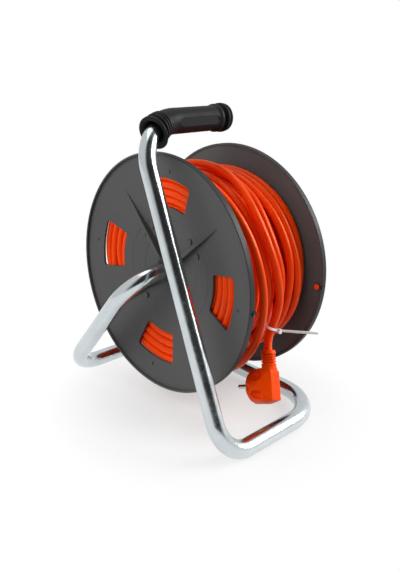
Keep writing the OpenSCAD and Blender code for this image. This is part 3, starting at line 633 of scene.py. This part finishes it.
class REEL_OT_hand_grip(bpy.types.Operator):
    """Lofts the rubber grip along the tube, with its rings, flared mouth and plain panel"""

    bl_idname = "reel.hand_grip"
    bl_label = "Hand Grip"

    def stations(self):
        """A matrix and a radius for each ring, from the closed end to inside the mouth."""
        rows = list(GRIP_OUTLINE)
        rows += [(k, GRIP_R) for k in range(RINGS_L + 1, int(GRIP_END - GRIP_START) + 1)]
        found = [
            (aim(at(GRIP_END - along, *CORNERS[0][1:]), (-1, 0, 0), (0, 0, 1)), r)
            for along, r in rows
        ]
        base = found[-1][0]
        centre, axis = bend_centre(1)
        hub = Matrix.Translation(at(*centre))
        for back, r in MOUTH_OUTLINE:
            angle = MOUTH_AT - degrees(back / BENDS[1])
            turn = hub @ Matrix.Rotation(radians(angle), 4, axis) @ hub.inverted()
            lean = MOUTH_LEAN * max(0.0, min(1.0, (LEAN_FROM - back) / LEAN_OVER))
            tilt = Matrix.Rotation(radians(-lean), 4, base.to_3x3().inverted() @ axis)
            found.append((turn @ base @ tilt, r))
        return found

    def execute(self, context):
        scale = context.scene.reel_sizes.grip_d / (2 * GRIP_R * MM)
        bm = bmesh.new()
        stations = self.stations()
        here, size = stations[0]
        edges = ring_of(bm, here, size * MM * scale, GRIP_SIDES)[1]
        close_ring(bm, edges)
        for matrix, r in stations[1:]:
            step = matrix @ Matrix.Scale(r / size, 4) @ here.inverted()
            edges = next_ring(bm, edges, step)[1]
            here, size = matrix, r
        self.panel(bm, scale)
        finish_piece("hand_grip_rubber", bm, "frame", "grip_rubber", ["hand_grip"], 50)
        return {"FINISHED"}

    def panel(self, bm, scale):
        """Sinks the plain panel into the outer side, with round ends and a fine raised rim."""
        middle = at((GRIP_START + GRIP_END - RINGS_L) / 2, *CORNERS[0][1:])
        side = middle.y - GRIP_R * MM * scale
        left, right = at(GRIP_START - 2, 0, 0).x, at(GRIP_END - RINGS_L, 0, 0).x
        for v in bm.verts:
            if v.co.y > middle.y - PANEL_SIDE * MM or not left < v.co.x < right:
                continue
            along = max(0.0, abs(v.co.x - middle.x) - PANEL_HALF * MM)
            gap = sqrt(along ** 2 + (v.co.z - middle.z) ** 2) - PANEL_R * MM
            if gap < 0:
                v.co.y = max(v.co.y, side + PANEL_DEPTH * MM)
            elif gap < PANEL_RIM_WIDE * MM:
                out = Vector((0, v.co.y - middle.y, v.co.z - middle.z)).normalized()
                v.co += out * PANEL_RIM_HIGH * MM * sin(pi * gap / (PANEL_RIM_WIDE * MM))


# ------------------------------------------------------------------------ the winding

# The drum's width, its flanges' thickness, and their dished plate: its depth from the
# flange's edge at the dish's rim, how much deeper it is each millimetre inwards, and the
# radius of that rim. Then the cord's clearance from a flange.
WIDTH = 138.0
PLATE = 3.0
DISH_DEPTH, DISH_SLOPE, DISH_R = 3.9, 0.153, 142.4
FLANGE_GAP = 0.5
LAYERS = 5
# A turn starts at the first angle and lies flat to the second. Then it crosses over to the
# next turn's place, up to the third. A new layer climbs from the one below over CLIMB.
START, CROSS_FROM, CROSS_TO = 210, -115, -150
CLIMB = 40
# Degrees between two points: the outer two layers, the inner ones, and a crossing.
FINE, COARSE, CROSSING = 4, 6, 5
# No hand lays a cord quite true: how far a turn strays along the axis and off its layer.
STRAY, LIFT = 0.3, 0.2
# Places on the axis of the outer layer's first four turns, which are snug.
SNUG_TURNS = (16.9, 27.2, 36.6, 46.6)
# The outer layer's last five turns, which are loose. For each, rows of angle, place on the
# axis, and height above the layer where the turn sags away from it.
LOOSE_TURNS = (
    (
        (210, 66, 0), (100, 66, 0), (77, 64, 0), (63, 61.5, 0), (53, 60.2, 0), (42, 59, 0),
        (28, 60, 0), (17, 62, 0), (8, 65, 0), (-3, 69, 0), (-12, 73, 0), (-27, 82, 0),
        (-40, 85, 0), (-62, 83, 0), (-90, 75, 0), (-115, 68, 0),
    ),
    (
        (210, 90, 0), (100, 90, 0), (54, 90, 0), (42, 86.5, 0), (31, 84.6, 0), (20, 86, 0),
        (10, 89.2, 0), (2, 92, 0), (-12, 93.4, 0), (-37, 94.6, 0), (-70, 93, 0), (-115, 90, 0),
    ),
    (
        (210, 101.6, 0), (90, 101.6, 0), (50, 102, 0.3), (36, 102.4, 1.8), (24, 102.8, 3.2),
        (10, 103.2, 4.4), (0, 103.2, 4.4), (-14, 103.4, 4.4), (-27, 103.2, 4.6),
        (-50, 102.6, 3), (-85, 101.6, 0), (-115, 101.6, 0),
    ),
    (
        (210, 111.4, 0), (84, 111.4, 0), (61, 111.8, 1.8), (35, 112, 3.5), (24, 112, 4),
        (10, 112.1, 6.2), (2, 112.2, 7.6), (-13, 112.2, 9), (-27, 112.1, 7), (-42, 111.8, 4.4),
        (-92, 111.4, 0), (-115, 111.4, 0),
    ),
    (
        (210, 121.2, 0), (84, 121.2, 0), (58, 121.6, 2.6), (45, 121.8, 4.6), (24, 122, 5.2),
        (4, 122, 4.4), (-14, 121.9, 3.2), (-29, 121.8, 3.4), (-45, 121.6, 2.4),
        (-92, 121.2, 0), (-115, 121.2, 0),
    ),
)


def dish(r):
    """Front surface of a flange's dished plate at a radius, from the flange's edge."""
    return DISH_DEPTH + DISH_SLOPE * (DISH_R - r)


def round_axle(x, r, angle):
    """A point at a place on the axis, a radius and an angle in degrees."""
    return (x, -r * cos(radians(angle)), r * sin(radians(angle)))


def through(rows, angle):
    """A smooth curve through rows of angle and values, the angles falling."""
    i = 0
    while i < len(rows) - 2 and angle < rows[i + 1][0]:
        i += 1
    p1, p2 = rows[i], rows[i + 1]
    p0, p3 = rows[max(i - 1, 0)], rows[min(i + 2, len(rows) - 1)]
    gap = p2[0] - p1[0]
    t = (angle - p1[0]) / gap
    found = []
    for k in range(1, len(p1)):
        lead_in = (p2[k] - p0[k]) / (p2[0] - p0[0]) * gap
        lead_out = (p3[k] - p1[k]) / (p3[0] - p1[0]) * gap
        found.append(
            p1[k] * (2 * t ** 3 - 3 * t * t + 1) + lead_in * (t ** 3 - 2 * t * t + t)
            + p2[k] * (3 * t * t - 2 * t ** 3) + lead_out * (t ** 3 - t * t)
        )
    return found


def flat_turn(place):
    return ((START, place, 0), (CROSS_FROM, place, 0))


def layer_turns(n, r, sizes):
    """The rows of each turn of a layer. Its end turns lie against the dished flanges."""
    if n == LAYERS - 1:
        return [flat_turn(x) for x in SNUG_TURNS] + list(LOOSE_TURNS)
    low = dish(r) + PLATE + sizes.cord_d / MM / 2 + FLANGE_GAP
    high = WIDTH - low
    count = int((high - low) / (sizes.loop_pitch / MM)) + 1
    return [flat_turn(low + (high - low) * k / (count - 1)) for k in range(count)]


def wound_points(sizes):
    """The wound cord's centre line in the drum's frame: all layers, wound to and fro."""
    step = sizes.layer_pitch / MM
    points = []
    for n in range(LAYERS):
        r = sizes.winding_r / MM - step * (LAYERS - 1 - n)
        turns = layer_turns(n, r, sizes)
        if n % 2:
            turns.reverse()
        every = FINE if n >= LAYERS - 2 else COARSE
        for k, rows in enumerate(turns):
            for a in range(START, CROSS_FROM, -every):
                x, sag = through(rows, a)
                # The end turns keep clear of the flanges, and the second of the free cord.
                if k not in (0, 1, len(turns) - 1):
                    x += STRAY * sin(radians(2 * a) + 2.4 * k + n)
                    sag += LIFT * sin(radians(3 * a) + 1.9 * k)
                ease = (START - a) / CLIMB
                climb = step * (1 - min(1, ease)) ** 2 if k == 0 and n else 0
                points.append(round_axle(x, r + sag - climb, a))
            here = rows[-1][1]
            there = turns[k + 1][0][1] if k + 1 < len(turns) else here
            for a in range(CROSS_FROM, CROSS_TO, -CROSSING):
                t = (CROSS_FROM - a) / (CROSS_FROM - CROSS_TO)
                points.append(round_axle(here + (there - here) * t * t * (3 - 2 * t), r, a))
    return points


def cord_curve(name, points, diameter, body, nodes):
    """A cord along points in the drum's frame, in millimetres."""
    data = bpy.data.curves.new(name, "CURVE")
    data.dimensions = "3D"
    data.bevel_depth = diameter / 2
    data.bevel_resolution = 4
    data.use_fill_caps = True
    line = data.splines.new("POLY")
    line.points.add(len(points) - 1)
    for p, q in zip(line.points, points):
        p.co = (*at(*q), 1.0)
    line.use_smooth = True
    return place_piece(name, data, body, "cord_orange", nodes)


class REEL_OT_winding(bpy.types.Operator):
    """Winds the cord on the drum in five layers"""

    bl_idname = "reel.winding"
    bl_label = "Wound Cord"

    def execute(self, context):
        sizes = context.scene.reel_sizes
        points = wound_points(sizes)
        cord_curve("wound_cord", points, sizes.cord_d, "drum", ["cord_winding", "cable_core"])
        return {"FINISHED"}


# The free cord's route: place on the axis, height over the winding and angle, then plain
# points. It rises out of the second turn of the outer layer.
RISE_ROUTE = [
    (27.2, -10.6, 472), (27.2, -10.5, 466), (27.2, -9.4, 460), (27.2, -7.2, 454),
    (27.2, -4.5, 448), (27.2, -2, 442), (27.3, -0.4, 436),
]
OVER_ROUTE = [
    (27.5, 0, 432), (29.5, 0, 422), (32, 0, 412), (34, 0, 402), (36.5, 0, 392), (39, 0, 382),
    (41.5, 0.3, 372), (44, 1.2, 362), (46.5, 2.4, 352), (48.5, 4, 342), (50.5, 5.4, 332),
    (52.5, 7.2, 322), (54.5, 9, 312), (57, 9.8, 302), (59, 9.4, 292), (60, 8.6, 282),
    (60, 7.6, 272), (60, 6.4, 262), (60, 5, 252), (60, 4, 242), (60, 3, 232), (60, 2, 222),
    (60, 1, 212), (60, 0.4, 204), (60, 0, 196), (61, 0, 186), (62, 0, 176), (63, 0, 166),
    (64, 0, 156), (66, 0, 146), (68, 0, 136), (70, 0, 126), (72, 0, 116), (73, 0, 106),
    (74, 0, 96), (74.5, 0, 86), (74.5, 0, 76), (72.5, 0, 66), (69, 0, 56), (65, 0, 46),
    (63, 0, 37), (63, 0, 28), (65, 0, 19), (69, 0, 10), (73.5, 0, 1),
]
OVER_R = 124.6
HANG_ROUTE = [(77, -124, -20), (76.5, -120.5, -39), (71.5, -117.5, -56), (66, -118.5, -67)]
PLUG_TOP = (61.8, -122, -76)


def smooth_route(points, steps=6):
    """A smooth line through all the points."""
    found = []
    last = len(points) - 1
    for i in range(last):
        p0, p1 = points[max(i - 1, 0)], points[i]
        p2, p3 = points[i + 1], points[min(i + 2, last)]
        for k in range(steps):
            t = k / steps
            found.append(
                0.5 * (2 * p1 + (p2 - p0) * t + (2 * p0 - 5 * p1 + 4 * p2 - p3) * t * t
                       + (3 * p1 - p0 - 3 * p2 + p3) * t ** 3)
            )
    found.append(points[last])
    return found


def free_cord_points():
    """The free cord's centre line, from under the outer layer to the plug."""
    over = [round_axle(x, OVER_R + rise, a) for x, rise, a in RISE_ROUTE + OVER_ROUTE]
    return smooth_route([Vector(p) for p in over + HANG_ROUTE + [PLUG_TOP]])


class REEL_OT_free_cord(bpy.types.Operator):
    """Lays the cord's free end over the winding and down to its plug"""

    bl_idname = "reel.free_cord"
    bl_label = "Free Cord"

    def execute(self, context):
        sizes = context.scene.reel_sizes
        points = free_cord_points()
        lead = cord_curve("free_cord", points, sizes.cord_d, "frame", ["cord_lead"])
        return {"FINISHED"}


# --------------------------------------------------------------------------- the plug

# The plug's face: its radius, how far it is ahead of the cord's axis and below the cord's
# exit, and its rounded edge. Then the length of its round part, the back plate's place, how
# far over the face's middle the round stem starts and its two radii, the strain relief's
# length, and how the plug leans and tilts where it hangs.
PLUG_R = 19.3
FACE_Y = 21.7
FACE_DROP = 39.5
FACE_EDGE, EDGE_L = 1.2, 1.3
DISC_L = 18.0
PLUG_BACK = -8.3
STEM_LOW, STEM_R1, STEM_R2 = 12, 8.8, 8.4
RELIEF_L = 19.0
PLUG_LEAN, PLUG_TILT = -22, 17
# Opposite corners of the plug's blocks, from the middle of its back: the back plate, and the
# neck's foot and its step below the strain relief, each a rear and a front block.
BACK_PLATE = ((-7, 0, -15.4), (7, 2, 16))
NECK = (
    ((-6.6, 0.1, 8), (6.6, 2, 9)),
    ((-10.6, 11.3, 8), (10.6, 19, 9)),
    ((-6.2, 1.4, 18.6), (6.2, 4, 19.6)),
    ((-10.4, 10.3, 18.6), (10.4, 18.5, 19.6)),
)
# A finger hollow's middle, from the cord's axis, its radii, and the heights of the two on
# each side. Then the guide notch: its middle, half its width and height, and its length.
HOLLOW_X, HOLLOW_Y, HOLLOW_RADII, HOLLOW_HEIGHTS = 20.5, 6.6, (10.5, 9.0, 5.6), (11.5, -9.5)
NOTCH_X, NOTCH_HALF, NOTCH_HIGH, NOTCH_LONG = 20.6, 3, 2.6, 6.5
# The strain relief's ribs: how many, the lowest one's place, and their pitch.
RIBS, RIB_LOW, RIB_PITCH = 4, -14.8, 3.0


def plug_matrix():
    """The plug's own frame: Z up the cord, Y along the pins."""
    return (
        Matrix.Translation(at(*PLUG_TOP)) @ Matrix.Rotation(radians(PLUG_LEAN), 4, "X")
        @ Matrix.Rotation(radians(PLUG_TILT), 4, "Y")
    )


def block(bm, low, high):
    """A box between two corners, in millimetres."""
    low, high = Vector(low) * MM, Vector(high) * MM
    size = high - low
    where = Matrix.Translation((low + high) / 2) @ Matrix.Diagonal((*size, 1))
    return bmesh.ops.create_cube(bm, size=1, matrix=where)["verts"]


def drum_piece(bm, r1, r2, start, way, sides=64):
    """A capped cone or cylinder from a point along a way, in millimetres."""
    way = Vector(way)
    middle = aim((Vector(start) + way / 2) * MM, way, (0.1, 0.2, 1))
    return bmesh.ops.create_cone(
        bm, cap_ends=True, segments=sides, radius1=r1 * MM, radius2=r2 * MM,
        depth=way.length * MM, matrix=middle,
    )["verts"]


def ball(bm, middle, radii):
    """An ellipsoid round a point, in millimetres."""
    where = Matrix.Translation(Vector(middle) * MM) @ Matrix.Diagonal((*(Vector(radii) * MM), 1))
    bmesh.ops.create_uvsphere(bm, u_segments=32, v_segments=20, radius=1, matrix=where)


def moulded_shape(cage, cutter, voxel_mm, rounds):
    """Joins the cage's blocks to one skin, cuts the hollows out, and softens all edges."""
    scene = bpy.context.scene
    body = bpy.data.objects.new("cage", cage)
    tool = bpy.data.objects.new("cutter", cutter)
    scene.collection.objects.link(body)
    scene.collection.objects.link(tool)
    for grid in ("skin", "skin again"):
        one = body.modifiers.new(grid, "REMESH")
        one.mode = "VOXEL"
        one.voxel_size = voxel_mm * MM
        if grid == "skin":
            cut = body.modifiers.new("cut", "BOOLEAN")
            cut.operation = "DIFFERENCE"
            cut.solver = "EXACT"
            cut.object = tool
    calm = body.modifiers.new("calm", "SMOOTH")
    calm.factor = 0.5
    calm.iterations = rounds
    seen = body.evaluated_get(bpy.context.evaluated_depsgraph_get())
    made = bpy.data.meshes.new_from_object(seen)
    for o, data in ((body, cage), (tool, cutter)):
        bpy.data.objects.remove(o)
        bpy.data.meshes.remove(data)
    return made


class REEL_OT_plug(bpy.types.Operator):
    """Moulds the angled plug with its finger hollows and ribbed strain relief"""

    bl_idname = "reel.plug"
    bl_label = "Plug"

    def execute(self, context):
        made = moulded_shape(self.cage(), self.cutter(), voxel_mm=0.55, rounds=4)
        made.transform(plug_matrix())
        made.shade_smooth()
        place_piece("plug_moulding", made, "frame", "plug_orange", ["plug_body"])
        self.relief()
        return {"FINISHED"}

    def cage(self):
        """The plug's body as plain blocks that overlap."""
        bm = bmesh.new()

        def solid(corners):
            return block(bm, *((x, PLUG_BACK + y, -FACE_DROP + z) for x, y, z in corners))

        def disc(radius, back, long):
            return drum_piece(bm, PLUG_R, radius, (0, FACE_Y - back, -FACE_DROP), (0, long, 0))

        disc(PLUG_R, DISC_L, DISC_L - FACE_EDGE)
        disc(PLUG_R - FACE_EDGE, EDGE_L, EDGE_L)
        # Behind its round part the body narrows to the back plate.
        ring = disc(PLUG_R, DISC_L + 1, 1)
        bmesh.ops.convex_hull(bm, input=ring + solid(BACK_PLATE), use_existing_faces=False)
        neck = [v for corners in NECK for v in solid(corners)]
        bmesh.ops.convex_hull(bm, input=neck, use_existing_faces=False)
        stem = FACE_DROP - STEM_LOW - RELIEF_L + 1
        drum_piece(bm, STEM_R1, STEM_R2, (0, 0, -FACE_DROP + STEM_LOW), (0, 0, stem), 32)
        return mesh_from(bm, "plug_cage")

    def cutter(self):
        """Two finger hollows and a guide notch on each side."""
        bm = bmesh.new()
        for s in (-1, 1):
            for up in HOLLOW_HEIGHTS:
                ball(bm, (s * HOLLOW_X, HOLLOW_Y, -FACE_DROP + up), HOLLOW_RADII)
            block(
                bm,
                (s * NOTCH_X - NOTCH_HALF, FACE_Y - NOTCH_LONG, -FACE_DROP - NOTCH_HIGH),
                (s * NOTCH_X + NOTCH_HALF, FACE_Y + 1, -FACE_DROP + NOTCH_HIGH),
            )
        return mesh_from(bm, "plug_cutter")

    def relief(self):
        """A collar and four ribs round the cord, held together by a bar on two sides."""
        outline = [(0, -RELIEF_L), (8.4, -RELIEF_L), (8.4, -15.2), (7.9, -14.9)]
        for k in range(RIBS):
            low = RIB_LOW + k * RIB_PITCH
            outline += [(6.2, low), (6.1, low + 0.9), (7.9, low + 1.0), (8.5, low + 1.3)]
            if k < RIBS - 1:
                outline += [(8.5, low + 2.6), (8.0, low + 2.9)]
        outline += [(8.4, -1.0), (7.9, -0.3), (7.0, 0), (5.0, 0), (4.9, 0.1), (0, 0.1)]
        bm = bmesh.new()
        lathe(bm, outline, plug_matrix())
        bar = block(bm, (-1.5, -7.9, -15), (1.5, 7.9, -4))
        bmesh.ops.transform(bm, matrix=plug_matrix(), verts=bar)
        finish_piece("plug_relief", bm, "frame", "plug_orange", ["strain_relief"])


# --------------------------------------------------------------------- carried nodes


class REEL_OT_carried(bpy.types.Operator):
    """Gives each solid that is shown as it is, such as the cable tie, its finish"""

    bl_idname = "reel.carried"
    bl_label = "Finishes of the Solids"

    def execute(self, context):
        slots = {s["node"]: s["material_slot"] for s in frame["record"]["subparts"]}
        for name, node in NODES.items():
            if node.hide_render:
                continue
            node.data.materials.clear()
            node.data.materials.append(FINISHES[slots[name]])
            node.data.shade_smooth()
            node.data.set_sharp_from_angle(angle=radians(30))
        return {"FINISHED"}


class REEL_PT_panel(bpy.types.Panel):
    """Lists the steps, the sizes and the colours"""

    bl_label = "Cord Reel"
    bl_idname = "REEL_PT_panel"
    bl_space_type = "VIEW_3D"
    bl_region_type = "UI"
    bl_category = "Cord Reel"

    def draw(self, context):
        column = self.layout.column()
        for step in STEPS:
            column.operator(step.bl_idname)
        for group in (context.scene.reel_sizes, context.scene.reel_colours):
            for name in group.__annotations__:
                column.prop(group, name)


STEPS = (
    REEL_OT_stage,
    REEL_OT_frame_tube,
    REEL_OT_hand_grip,
    REEL_OT_winding,
    REEL_OT_plug,
    REEL_OT_free_cord,
    REEL_OT_carried,
)
CLASSES = (ReelSizes, ReelColours, *STEPS, REEL_PT_panel)


def register():
    for made in CLASSES:
        bpy.utils.register_class(made)
    bpy.types.Scene.reel_sizes = bpy.props.PointerProperty(type=ReelSizes)
    bpy.types.Scene.reel_colours = bpy.props.PointerProperty(type=ReelColours)


def unregister():
    del bpy.types.Scene.reel_colours
    del bpy.types.Scene.reel_sizes
    for made in reversed(CLASSES):
        bpy.utils.unregister_class(made)


def main():
    register()
    make_finishes(bpy.context.scene.reel_colours)
    for step in STEPS:
        group, name = step.bl_idname.split(".")
        getattr(getattr(bpy.ops, group), name)()
    bpy.context.view_layer.update()


if __name__ == "__main__":
    main()
